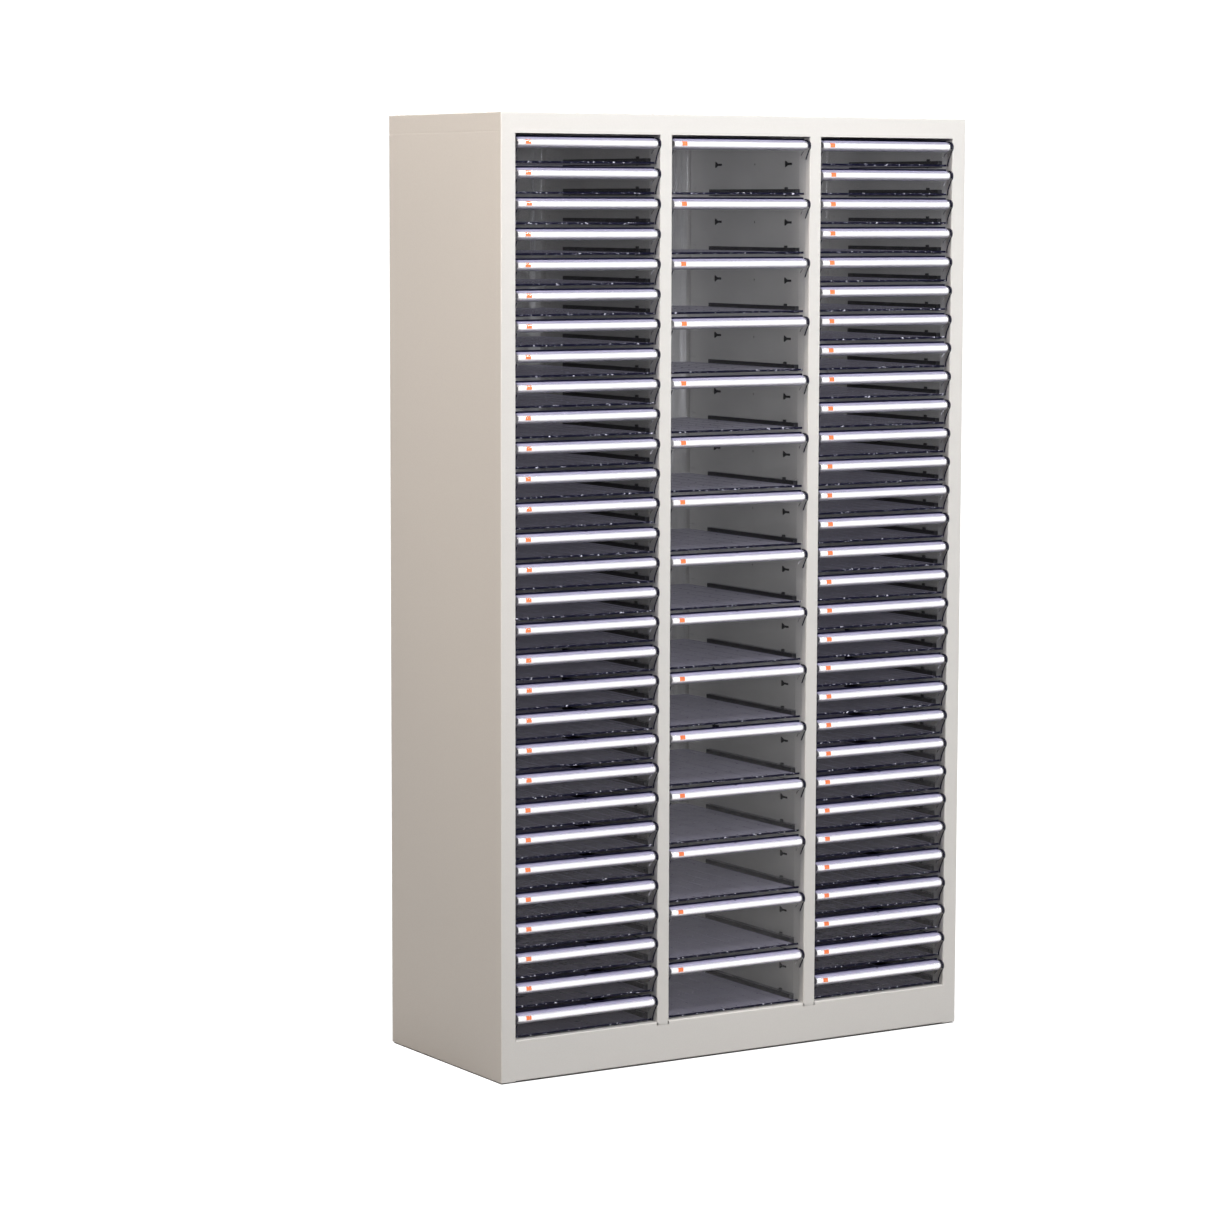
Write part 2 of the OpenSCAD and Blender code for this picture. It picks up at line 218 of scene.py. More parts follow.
def add_bevel(obj, width, degrees):
    """Round the edges steeper than the angle."""
    modifier = obj.modifiers.new("bevel", "BEVEL")
    modifier.width = width
    modifier.segments = 2
    modifier.limit_method = "ANGLE"
    modifier.angle_limit = math.radians(degrees)


def weight_normals(obj):
    """Flat faces keep their own normal; only the rounded edges blend."""
    modifier = obj.modifiers.new("weighted", "WEIGHTED_NORMAL")
    modifier.mode = "FACE_AREA"
    modifier.weight = 100
    return modifier


def soften(obj, width, degrees):
    """Merge flat neighbours and round the sharp edges."""
    bm = bmesh.new()
    bm.from_mesh(obj.data)
    bmesh.ops.remove_doubles(bm, verts=bm.verts, dist=0.002)
    bmesh.ops.dissolve_limit(
        bm, angle_limit=math.radians(1.0), verts=bm.verts, edges=bm.edges, delimit={"MATERIAL"}
    )
    bm.to_mesh(obj.data)
    bm.free()
    add_bevel(obj, width, degrees)
    apply_modifiers(obj)


def to_metres(obj):
    obj.data.transform(Matrix.Scale(MM, 4))
    return obj


# ---------------------------------------------------------------- shader tools
def new_material(name):
    """A material and its emptied node tree."""
    mat = bpy.data.materials.new(name)
    mat.use_nodes = True
    mat.node_tree.nodes.clear()
    return mat, mat.node_tree


def add(tree, kind, inputs=None, **settings):
    """Add a shader node; an input is either a value or a socket to link from."""
    node = tree.nodes.new("ShaderNode" + kind)
    for key, value in settings.items():
        setattr(node, key, value)
    for key, value in (inputs or {}).items():
        if isinstance(value, bpy.types.NodeSocket):
            tree.links.new(value, node.inputs[key])
        else:
            node.inputs[key].default_value = value
    return node


def finish(mat, shader):
    """Link the shader to the material's output."""
    add(mat.node_tree, "OutputMaterial", {"Surface": shader})
    return mat


def rgba(colour):
    return (*colour, 1.0)


def toned(colour, factor):
    return tuple(min(c * factor, 1) for c in colour)


def position(tree):
    return add(tree, "NewGeometry").outputs["Position"]


def split_xyz(tree, vector):
    return add(tree, "SeparateXYZ", {"Vector": vector}).outputs


def stretched(tree, vector, stretch):
    return add(tree, "Mapping", {"Scale": stretch, "Vector": vector}).outputs["Vector"]


def noise_at(tree, vector, scale, detail=2.0, rough=0.5):
    return add(tree, "TexNoise", {"Scale": scale, "Detail": detail, "Roughness": rough,
                                  "Vector": vector}).outputs["Fac"]


def noise(tree, scale, detail=2.0, rough=0.5, stretch=(1, 1, 1)):
    """Noise in object space."""
    place = add(tree, "TexCoord").outputs["Object"]
    return noise_at(tree, stretched(tree, place, stretch), scale, detail, rough)


def ramp(tree, source, stops):
    """Colour ramp through (position, colour) stops."""
    node = add(tree, "ValToRGB", {"Fac": source})
    elements = node.color_ramp.elements
    while len(elements) < len(stops):
        elements.new(0.5)
    for element, (place, colour) in zip(elements, stops):
        element.position = place
        element.color = rgba(colour)
    return node.outputs["Color"]


def grey_ramp(tree, source, stops):
    """Ramp through (position, grey level) stops."""
    return ramp(tree, source, [(place, (level,) * 3) for place, level in stops])


def map_range(tree, value, source=(0.0, 1.0), target=(0.0, 1.0)):
    return add(tree, "MapRange", {
        "Value": value, "From Min": source[0], "From Max": source[1],
        "To Min": target[0], "To Max": target[1]}).outputs["Result"]


def math_node(tree, operation, *operands):
    node = add(tree, "Math", dict(enumerate(operands)), operation=operation)
    return node.outputs["Value"]


def multiply_colours(tree, factor, first, second):
    node = add(tree, "Mix", {"Factor": factor, 6: first, 7: second},
               data_type="RGBA", blend_type="MULTIPLY")
    return node.outputs[2]


def mix_shaders(tree, factor, first, second):
    return add(tree, "MixShader", {"Fac": factor, 1: first, 2: second}).outputs["Shader"]


def bump(tree, height, strength, distance, under=None):
    """Bump normal, on top of the normal under it where one is given."""
    inputs = {"Strength": strength, "Distance": distance, "Height": height}
    if under is not None:
        inputs["Normal"] = under
    return add(tree, "Bump", inputs).outputs["Normal"]


def camera_ray(tree):
    return add(tree, "LightPath").outputs["Is Camera Ray"]


def by_height(tree, levels, heights):
    """A value that goes from one level to the other between two heights in m."""
    return map_range(tree, split_xyz(tree, position(tree))["Z"], heights, levels)


def light_inside(tree, levels, left_share):
    """Light that reaches the tray spaces: less in the lower rows and at the left."""
    place = split_xyz(tree, position(tree))
    by_row = map_range(tree, place["Z"], source=(0.25, 1.4), target=levels)
    # none gets in over the top row
    below_roof = math_node(tree, "LESS_THAN", place["Z"], 1.360)
    # the left column sits in the shade of the side panel
    across = map_range(tree, place["X"], source=(-0.20, 0.10), target=(left_share, 1.0))
    share = math_node(tree, "MULTIPLY", by_row, across)
    return math_node(tree, "MULTIPLY", share, below_roof)


def thin_fresnel(tree, normal, shine):
    """Reflection share of a thin clear wall, the same from either side."""
    facing = add(tree, "LayerWeight", {"Blend": 0.5, "Normal": normal}).outputs["Facing"]
    edge = math_node(tree, "POWER", facing, 5.0)
    # 4% straight on, up to 94% at the edge
    share = math_node(tree, "MULTIPLY_ADD", edge, 0.9 * shine, 0.04 * shine)
    # light passes the thin wall freely; only the view shows its reflection
    return math_node(tree, "MULTIPLY", share, camera_ray(tree))


# ---------------------------------------------------------------- materials
def paint_material(name, base, warm, rough=0.42, lift=0.0, low_share=0.04):
    """Powder coat: a fine orange peel, a slow drift of colour and gloss. The
    lift stands for the light that the clear trays scatter inside."""
    mat, tree = new_material(name)
    slow = noise(tree, scale=2.2)
    drift = ramp(tree, slow, [(0.3, base), (0.7, warm)])
    fine = noise(tree, scale=420.0, rough=0.55)
    peel = noise(tree, scale=130.0)
    speck = grey_ramp(tree, fine, [(0.3, 0.965), (0.7, 1.0)])
    flecked = multiply_colours(tree, 1.0, drift, speck)
    # painted shade: the lid faces every lamp at once, so the colour of its upper face is darkened
    lid = by_height(tree, levels=(0.0, 1.0), heights=(1.3992, 1.3999))
    colour = multiply_colours(tree, lid, flecked, (0.66, 0.66, 0.67, 1))
    peeled = bump(tree, peel, strength=0.16, distance=0.0006)
    look = {
        "Base Color": colour,
        "Roughness": map_range(tree, slow, target=(rough - 0.05, rough + 0.06)),
        "Normal": bump(tree, fine, strength=0.10, distance=0.0003, under=peeled),
        "Specular IOR Level": 0.42,
    }
    if lift:
        look["Emission Color"] = (0.97, 0.97, 1.0, 1)
        look["Emission Strength"] = light_inside(tree, (low_share * lift, lift), left_share=0.55)
    return finish(mat, add(tree, "BsdfPrincipled", look).outputs["BSDF"])


def smoke_material(name, tint, haze, haze_share, shine, rough=0.05, wave=0.03, wave_scale=16.0,
                   reflection_streaks=False, through=0.97, glow=None):
    """Thin clear moulded plastic: tinted see-through, a Fresnel reflection on a
    slightly wavy moulded surface, and a trace of haze. A glow, where given, is
    painted light for the light scattered in the smoke; the reflection streaks
    are a painted reflection of the room in the rear walls."""
    mat, tree = new_material(name)
    tinted = ramp(tree, noise(tree, scale=7.0),
                  [(0.25, toned(tint, 0.94)), (0.75, toned(tint, 1.05))])
    see_through = add(tree, "BsdfTransparent", {"Color": tinted}).outputs["BSDF"]

    look = {"Base Color": rgba(haze), "Roughness": 0.8, "Specular IOR Level": 0.1}
    if glow:
        # painted light: a glow for the light scattered in the smoke tint, less in the lower rows
        look["Emission Color"] = (0.80, 0.77, 1.0, 1)
        look["Emission Strength"] = by_height(tree, levels=glow, heights=(0.2, 1.0))
    if reflection_streaks:
        look["Emission Color"] = (0.95, 0.95, 1.0, 1)
        # painted reflection: a glow strongest at the height where the room is mirrored in the rear
        # walls
        look["Emission Strength"] = grey_ramp(
            tree, by_height(tree, levels=(0.0, 1.0), heights=(0.0, 1.4)),
            [(0.30, 0.02), (0.60, 0.08), (0.68, 0.62), (0.78, 0.50), (0.85, 0.08), (1.0, 0.08)])
        # upright streaks of the painted reflection, which also carry the haze, different in every
        # tray
        upright = stretched(tree, position(tree), (1.0, 0.0, 0.05))
        streak_pattern = noise_at(tree, upright, scale=42.0, detail=3.0, rough=0.55)
        haze_share = grey_ramp(tree, streak_pattern, [(0.44, 0.02), (0.58, 0.10), (0.70, haze_share)])
    hazy = add(tree, "BsdfPrincipled", look).outputs["BSDF"]

    waves = noise(tree, wave_scale, rough=0.45, stretch=(1, 1, 2.2))
    grain = noise(tree, scale=260.0)
    wavy = bump(tree, waves, strength=wave, distance=0.02)
    normal = bump(tree, grain, strength=0.03, distance=0.0004, under=wavy)
    gloss = add(tree, "BsdfAnisotropic", {"Color": (0.95, 0.95, 1.0, 1), "Roughness": rough,
                                          "Normal": normal}).outputs["BSDF"]
    wall = mix_shaders(tree, haze_share, see_through, hazy)
    seen = mix_shaders(tree, thin_fresnel(tree, normal, shine), wall, gloss)
    # the light inside the cabinet is not lost in the stack of clear floors:
    # only the view sees the full tint
    clear = add(tree, "BsdfTransparent", {"Color": rgba((through,) * 3)}).outputs["BSDF"]
    return finish(mat, mix_shaders(tree, camera_ray(tree), clear, seen))


def solid_plastic(name, base, rough, grain=0.08, extra=None):
    """Opaque part with a slow drift of colour and a fine grain; extra holds
    further inputs of its shader."""
    mat, tree = new_material(name)
    colour = ramp(tree, noise(tree, scale=18.0),
                  [(0.3, toned(base, 0.93)), (0.7, toned(base, 1.05))])
    fine = noise(tree, scale=300.0, detail=3.0)
    look = {
        "Base Color": colour,
        "Normal": bump(tree, fine, strength=grain, distance=0.0005),
        "Roughness": rough,
        "Coat Roughness": 0.08,
        **(extra or {}),
    }
    return finish(mat, add(tree, "BsdfPrincipled", look).outputs["BSDF"])


def stud_glint_material():
    """Moulded pips with painted glints: a noise paints some bright, most dim, as if they caught
    the light unevenly.
    """
    mat, tree = new_material("smoke_stud_glint")
    patches = noise_at(tree, position(tree), scale=37.0)
    colour = ramp(tree, patches, [(0.45, (0.02, 0.02, 0.03)), (0.56, (0.16, 0.16, 0.20)),
                                  (0.64, (0.85, 0.85, 0.95))])
    look = {"Base Color": colour, "Roughness": 0.2}
    return finish(mat, add(tree, "BsdfPrincipled", look).outputs["BSDF"])


def lip_shade_glint_material():
    """Lower lip painted dark as shade, with small uneven painted glints along it."""
    mat, tree = new_material("smoke_lip")
    place = stretched(tree, position(tree), (1.0, 0.3, 1.4))
    glints = noise_at(tree, place, scale=210.0, rough=0.6)
    colour = ramp(tree, glints, [(0.58, (0.006, 0.006, 0.018)), (0.64, (0.10, 0.10, 0.14)),
                                 (0.70, (0.75, 0.75, 0.85))])
    look = {"Base Color": colour, "Roughness": 0.25, "Specular IOR Level": 0.12}
    return finish(mat, add(tree, "BsdfPrincipled", look).outputs["BSDF"])


def cover_material():
    """Clear label cover: glossy, with a milky haze of thick clear plastic where
    nothing white lies behind it, and by its slope a painted lavender reflection
    on the upturned top and painted grey shade on the underside."""
    mat, tree = new_material("clear_cover")
    see_through = add(tree, "BsdfTransparent", {"Color": (0.985, 0.985, 0.99, 1)})
    true_normal = add(tree, "NewGeometry").outputs["True Normal"]
    # 0 where the surface faces down, 1 where it faces up
    slope = map_range(tree, split_xyz(tree, true_normal)["Z"], source=(-1.0, 1.0))
    # painted by slope: a lavender reflection facing up, grey shade facing down, lightest facing
    # the front
    colour = ramp(tree, slope, [(0.1, (0.42, 0.42, 0.48)), (0.4, (0.80, 0.80, 0.86)),
                                (0.75, (0.62, 0.60, 0.78)), (1.0, (0.42, 0.40, 0.58))])
    haze_sheen_shade = add(tree, "BsdfDiffuse", {"Color": colour})
    haze_sheen_shade_share = grey_ramp(tree, slope, [(0.0, 0.8), (0.14, 0.5), (0.34, 0.05), (0.80, 0.03),
                                         (0.90, 0.30), (0.97, 0.8)])
    normal = bump(tree, noise(tree, scale=22.0), strength=0.05, distance=0.01)
    gloss = add(tree, "BsdfAnisotropic", {"Color": (1, 1, 1, 1), "Roughness": 0.09,
                                          "Normal": normal})
    hazy_sheen_shaded = mix_shaders(tree, haze_sheen_shade_share, see_through.outputs["BSDF"], haze_sheen_shade.outputs["BSDF"])
    reflection = thin_fresnel(tree, normal, shine=1.0)
    return finish(mat, mix_shaders(tree, reflection, hazy_sheen_shaded, gloss.outputs["BSDF"]))


def card_material():
    """Bright white card with a faint fibre and a painted glow."""
    mat, tree = new_material("card_white")
    fibre = noise(tree, scale=180.0, detail=4.0, rough=0.6, stretch=(0.3, 1, 1))
    look = {
        "Base Color": ramp(tree, fibre, [(0.2, (0.90, 0.90, 0.905)), (0.8, (0.96, 0.96, 0.965))]),
        "Roughness": 0.7,
        "Specular IOR Level": 0.2,
        # painted light: a glow, stronger in the lower rows, so the card reads white even where
        # they are dim
        "Emission Color": (1, 1, 1, 1),
        "Emission Strength": by_height(tree, levels=(0.42, 0.16), heights=(0.0, 1.4)),
    }
    return finish(mat, add(tree, "BsdfPrincipled", look).outputs["BSDF"])


PAINT = paint_material("powder_coat", base=(0.60, 0.585, 0.565), warm=(0.62, 0.60, 0.575))
# copies of the powder coat with a painted glow for the light that gets into the tray spaces; the
# middle column's copy keeps more of it in the lower rows
PAINT_INSIDE_GLOW = paint_material("powder_coat_inside_glow", base=(0.60, 0.595, 0.59),
                              warm=(0.62, 0.61, 0.60), rough=0.5, lift=0.085)
PAINT_MIDDLE_GLOW = paint_material("powder_coat_middle", base=(0.60, 0.595, 0.585),
                              warm=(0.62, 0.61, 0.595), rough=0.5, lift=0.10, low_share=0.4)
RUNNER = solid_plastic("runner_plastic", base=(0.016, 0.016, 0.020), rough=0.42)
# near black for sheet faces that never see light: painted shade
UNLIT = solid_plastic("unlit_inside", base=(0.006, 0.006, 0.007), rough=0.8)
GLIDE = solid_plastic("glide_nylon", base=(0.03, 0.03, 0.03), rough=0.5)
RIVET = solid_plastic("rivet_zinc", base=(0.55, 0.55, 0.56), rough=0.35, extra={"Metallic": 1.0})
SMOKE = smoke_material("smoke_clear", tint=(0.990, 0.990, 0.994), haze=(0.20, 0.20, 0.26),
                       haze_share=0.006, shine=0.7)
# the rear walls carry a light haze and the painted reflection streaks
SMOKE_REAR = smoke_material("smoke_rear", tint=(0.975, 0.975, 0.985), haze=(0.62, 0.62, 0.68),
                            haze_share=0.5, shine=0.7, reflection_streaks=True)
# The floors take a far darker tint than the walls of the same plastic: partly its smoke tint,
# partly painted shade for how dark the floor looks at a grazing angle. Their glow is painted
# light, and the tall trays' floors are a lighter copy.
FLOOR_SURFACE = dict(haze_share=0.72, shine=0.75, wave=0.05, wave_scale=30.0)
SMOKE_FLOOR = smoke_material("smoke_floor", tint=(0.26, 0.25, 0.32), haze=(0.155, 0.147, 0.205),
                             rough=0.27, through=0.62, glow=(0.02, 0.14), **FLOOR_SURFACE)
SMOKE_FLOOR_TALL = smoke_material("smoke_floor_tall", tint=(0.30, 0.29, 0.36),
                                  haze=(0.20, 0.19, 0.25), rough=0.30, through=0.70,
                                  glow=(0.07, 0.11), **FLOOR_SURFACE)
STUD_GLINT = stud_glint_material()
LIP_SHADE_GLINT = lip_shade_glint_material()
# near black for the edges, rims and trims of the clear plastic: painted shade for the dark
# outlines they show
EDGE_SHADE = solid_plastic("smoke_edge_shade", base=(0.008, 0.008, 0.022), rough=0.25, grain=0.02,
                     extra={"Specular IOR Level": 0.12})
COVER = cover_material()
CARD = card_material()
# the tab glows a little: painted light that brightens its orange
TAB = solid_plastic("tab_orange", base=(0.98, 0.19, 0.010), rough=0.5, grain=0.03,
                    extra={"Emission Color": (1, 0.22, 0.01, 1), "Emission Strength": 0.2})


# ---------------------------------------------------------------- tray
def bar_levels(cell_height):
    """Heights of the label bar: its top, middle and underside."""
    top = cell_height - LABEL_GAP
    return top, top - BAR_HALF, top - LABEL_H


def plan_ring(half, front, rear, radius, z, inset=0.0):
    """Plan outline with a square front and rounded rear corners."""
    h, d = half - inset, rear - inset
    r = max(radius - inset, 0.6)
    points = [(-h, front), (h, front)]
    points += arc(h - r, d - r, r, 0, 90, 5)
    points += arc(-h + r, d - r, r, 90, 180, 5)
    return [at(x, depth, z) for x, depth in points]


def solid_rings(half, front, rear, radius, bottom, top, fillet):
    """Rings of a block with a fillet round its lower edge."""
    rings = []
    steps = 4
    for k in range(steps + 1):
        a = math.radians(90.0 * k / steps)
        rings.append(plan_ring(half, front, rear, radius, bottom + fillet * (1 - math.cos(a)),
                               fillet * (1 - math.sin(a))))
    rings.append(plan_ring(half, front, rear, radius, top))
    return rings


def tray_shell(name, wall_top):
    """Open box with rounded rear corners and a rolled rim around its walls."""
    body = loft(name, solid_rings(TRAY_W, SHELL_FRONT, REAR, radius=7.0, bottom=TRAY_Z,
                                  top=wall_top, fillet=2.2))
    rim = loft("rim", [plan_ring(TRAY_W + 0.9, SHELL_FRONT, REAR, 7.5, z)
                       for z in (wall_top - 3.2, wall_top)])
    boolean(body, rim, "UNION")
    hollow = loft("hollow", solid_rings(TRAY_W - WALL, TRAY_FRONT - 20, REAR - WALL, radius=5.2,
                                        bottom=FLOOR_TOP, top=wall_top + 5, fillet=3.0))
    boolean(body, hollow, "DIFFERENCE")
    return body


def add_front(body, cell_height):
    """Front wall, which carries the label bar along its top, and the side parts:
    a cheek, a flange with its stop lug, and a gusset at either end."""
    bar_top, bar_mid, bar_under = bar_levels(cell_height)
    # profiles as (d, z) points
    carrier = [(TRAY_FRONT, TRAY_Z + 0.8), (TRAY_FRONT + 0.8, TRAY_Z), (FRONT_INNER, TRAY_Z),
               (FRONT_INNER, bar_top - 0.7), (FRONT_INNER - 0.7, bar_top), (TRAY_FRONT, bar_top)]
    cheek = (
        [(FRONT_INNER, TRAY_Z), (FRONT_INNER, bar_top + 0.6)]
        + bulge(BAR_HALF + 0.6, CHEEK_BACK + PROUD, CHEEK_BACK, bar_mid, -50.0)
        + [(0.9, bar_under - 0.6), (2.2, bar_under - 2.5), (5.2, bar_under - 7.5),
           (7.7, bar_under - 12.5), (9.0, bar_under - 17.0), (9.2, TRAY_Z)]
    )
    gusset_front, gusset_depth, gusset_drop = 3.2, 6.6, 10.0
    gusset = [(TRAY_FRONT + 0.5, bar_under - 0.2), (gusset_front, bar_under - 0.2)]
    gusset += [(gusset_front + gusset_depth * math.sin(math.radians(t)),
                bar_under - 1.4 - gusset_drop * (1 - math.cos(math.radians(t))))
               for t in range(0, 91, 10)]
    gusset += [(TRAY_FRONT + 0.5, bar_under - 11.6)]

    boolean(body, prism("carrier", carrier, (-CHEEK_IN - 0.5, CHEEK_IN + 0.5)), "UNION")
    for side in (-1, 1):
        boolean(body, prism("cheek", cheek, span(side, CHEEK_IN, FRONT_HALF)), "UNION")
        # flange that rides on the runner, and the stop lug at its rear
        boolean(body, slab("flange", span(side, TRAY_W - 0.5, TRAY_W + FLANGE_W),
                           (TRAY_FRONT + 1, REAR - 1.0), (FLANGE_Z, FLANGE_Z + WALL)), "UNION")
        boolean(body, slab("lug", span(side, TRAY_W - 1.0, OPEN_W / 2 - 0.9),
                           (REAR - 7.0, REAR - 1.2), (FLANGE_Z, FLANGE_Z + WALL + 0.8)), "UNION")
        # curved gusset between the front wall and the bar's underside
        boolean(body, prism("gusset", gusset, span(side, CHEEK_IN - 7.0, CHEEK_IN - 5.6)),
                "UNION")


def add_dome(verts, faces, base_ring, upper_ring, tip):
    """A small pip from two rings and a tip, open at its base."""
    n = len(base_ring)
    start = len(verts)
    verts += base_ring + upper_ring + [tip]
    for k in range(n):
        k2 = (k + 1) % n
        faces.append((start + k, start + k2, start + n + k2, start + n + k))
        faces.append((start + n + k, start + n + k2, start + 2 * n))


def floor_relief():
    """Ribs along the floor, rounded on top, rows of low moulded studs between
    them, and pips on the front wall; open where they sit on the tray."""
    verts, faces = [], []
    # rib section: x across, z above the floor
    section = [(-1.0, 0.0), (-0.8, 0.3), (-0.4, 0.5), (0.4, 0.5), (0.8, 0.3), (1.0, 0.0)]
    n = len(section)
    for x in range(-96, 97, 32):
        base = len(verts)
        for d in (TRAY_FRONT + 6, REAR - 10):
            verts += [at(x + across, d, FLOOR_TOP + rise) for across, rise in section]
        faces += [(base + i, base + i + 1, base + n + i + 1, base + n + i) for i in range(n - 1)]
        faces += [tuple(base + i for i in range(n)),
                  tuple(base + n + i for i in reversed(range(n)))]
    stud_columns = [-91 + 26 * i for i in range(8)]
    for x in stud_columns:
        for d in (21, 80, 140, 200, 260):
            rings = [[at(px, pd, FLOOR_TOP + rise) for px, pd in oval(x, d, r, r, 45)]
                     for r, rise in ((1.9, 0.0), (1.3, 0.75))]
            add_dome(verts, faces, *rings, at(x, d, FLOOR_TOP + 1.0))
    # pips along the lower edge of the front wall
    pip_z = 2.9
    for x in stud_columns:
        rings = [[at(px, TRAY_FRONT + d, pz) for px, pz in oval(x, pip_z, r, 0.75 * r, 45)]
                 for r, d in ((1.25, 0.0), (0.9, -0.6))]
        add_dome(verts, faces, *rings, at(x, TRAY_FRONT - 0.8, pip_z))
    return new_object("relief", verts, faces)


def front_trims(cell_height):
    """The separate bead, lower lip, shade strip and notch shade at the front of the tray, all dark
    as painted shade, the lower lip with painted glints as well.
    """
    bar_top, bar_mid, _ = bar_levels(cell_height)
    between_cheeks = (-CHEEK_IN + 0.6, CHEEK_IN - 0.6)
    # bead of thick plastic round the upper half of the bar's right end, painted dark as shade
    bead = prism("bead", bowed((BAR_HALF + 0.4, CHEEK_BACK + PROUD - 0.3),
                               (BAR_HALF - 0.8, CHEEK_BACK + PROUD - 2.6),
                               CHEEK_BACK, bar_mid, -22.0, 84.0, 16),
                 (CHEEK_IN - 0.9, CHEEK_IN + 0.1))
    # thickened lower lip of the front wall; its material paints it dark as shade, a dark line over
    # the next bar, with painted glints
    lip = prism("lip", [(TRAY_FRONT + 0.4, TRAY_Z + 0.1), (TRAY_FRONT - 0.1, TRAY_Z + 0.3),
                        (TRAY_FRONT - 0.35, TRAY_Z + 0.9), (TRAY_FRONT - 0.35, TRAY_Z + 2.7),
                        (TRAY_FRONT + 0.4, TRAY_Z + 3.2)], between_cheeks)
    # dark strip on the top edge of the front wall: painted shade for the dark gap above the bar
    dust = prism("dust", [(TRAY_FRONT + 1.5, bar_top - 0.8), (TRAY_FRONT + 0.5, bar_top - 0.8),
                          (TRAY_FRONT + 0.6, bar_top + 1.8), (TRAY_FRONT + 0.85, bar_top + 2.4),
                          (TRAY_FRONT + 1.15, bar_top + 2.4), (TRAY_FRONT + 1.4, bar_top + 1.8)],
                 between_cheeks)
    # dark piece that shows in the cover's finger notch: painted shade for the dark seen there
    peg = loft("peg", [[at(x, d, z) for x, d in oval(0.0, 6.4, 1.2 * r, r, 45)]
                       for r, z in ((1.3, bar_top - 2.4), (1.3, bar_top - 0.1),
                                    (0.9, bar_top + 0.2))])
    return [bead, lip, dust, peg]


# material slots of a tray mesh
IN_SMOKE, IN_EDGE_SHADE, IN_FLOOR, IN_GLINT, IN_REAR, IN_LIP_SHADE = range(6)


def tray_slot(centre, normal, cell_height):
    """Material slot of a tray face, from its centre and normal."""
    bar_top, bar_mid, bar_under = bar_levels(cell_height)
    x, z = centre.x, centre.z
    d = centre.y - FRONT
    across = abs(normal.x)

    # bead at the right end of the bar: painted dark as shade
    on_bead = CHEEK_IN - 1.3 < x < CHEEK_IN and z > bar_under and d < TRAY_FRONT
    if on_bead:
        return IN_EDGE_SHADE
    on_pip = 2.5 < z < 4.0 and d < TRAY_FRONT - 0.37
    # lower lip: painted dark as shade, with painted glints
    if d < TRAY_FRONT + 0.15 and z < TRAY_Z + 3.1 and across < 0.5 and not on_pip:
        return IN_LIP_SHADE

    # cheek edges, painted dark as shade: all of the right one, the left one only below the bar
    if across < 0.9 and (cell_height == PITCH or z > bar_under - 14):
        if x > CHEEK_IN - 0.05 or (x < -CHEEK_IN + 0.05 and z < bar_under):
            return IN_EDGE_SHADE
    # strip on the top edge of the front wall, painted dark as shade
    on_shade_strip = z > bar_top + 0.3 and abs(x) < 1
    # piece in the finger notch, painted dark as shade
    on_notch_shade = abs(x) < 1.8 and d < TRAY_FRONT - 1.0 and z > bar_mid
    wall_top = bar_top - 3.0
    # top of the rim: painted dark as shade
    on_rim = z > wall_top - 0.6 and normal.z > 0.5 and d > TRAY_FRONT + 2.5
    if on_shade_strip or on_notch_shade or on_rim:
        return IN_EDGE_SHADE

    # painted glints: the front studs, the pips and the gusset under the right end of the bar
    on_front_studs = FLOOR_TOP + 0.55 < z < FLOOR_TOP + 1.2 and d < 30
    on_pips = d < TRAY_FRONT - 0.15 and z < 4.0 and abs(x) < TRAY_W
    before_right_half = (d < TRAY_FRONT - 0.3 and 0 < x < CHEEK_IN - 1 and across < 0.5
                         and z > bar_under - 7)
    if on_front_studs or on_pips or before_right_half:
        return IN_GLINT
    if z < FLOOR_TOP + 1.2 and (abs(normal.z) > 0.5 or z > FLOOR_TOP - 0.1):
        return IN_FLOOR
    # rear wall, with its painted reflection streaks
    if d > REAR - 3 and abs(normal.y) > 0.9 and abs(x) < TRAY_W - 5:
        return IN_REAR
    return IN_SMOKE


def make_tray(name, cell_height):
    """The moulded tray, with its floor relief and the label bar moulding."""
    bar_top = bar_levels(cell_height)[0]
    body = tray_shell(name, wall_top=bar_top - 3.0)
    add_front(body, cell_height)
    soften(body, width=0.32, degrees=32.0)
    shade(body.data, 38.0)
    trims = front_trims(cell_height)
    tray = join([body, floor_relief(), *trims], name)
    shade(tray.data, 38.0)
    weight_normals(tray).keep_sharp = True
    apply_modifiers(tray)
    mesh = tray.data
    mesh.materials.clear()
    floor = SMOKE_FLOOR if cell_height == PITCH else SMOKE_FLOOR_TALL
    for mat in (SMOKE, EDGE_SHADE, floor, STUD_GLINT, SMOKE_REAR, LIP_SHADE_GLINT):
        mesh.materials.append(mat)
    for face in mesh.polygons:
        face.material_index = tray_slot(face.center, face.normal, cell_height)
    return tray


# ---------------------------------------------------------------- label parts
# end taper of the parts on the bar: distance from the cover's end, scale of the section
STRIP_TAPER = [(0.0, 0.74), (2.0, 0.87), (4.0, 0.935), (6.0, 0.98), (8.5, 1.0)]
COVER_TAPER = [STRIP_TAPER[0], (0.6, 0.80), *STRIP_TAPER[1:]]


def scaled_ring(section, x, scale, mid_z):
    """The bar section at x, drawn in towards its back and middle."""
    return [at(x, BAR_BACK + (d - BAR_BACK) * scale, mid_z + (z - mid_z) * (0.35 + 0.65 * scale))
            for d, z in section]


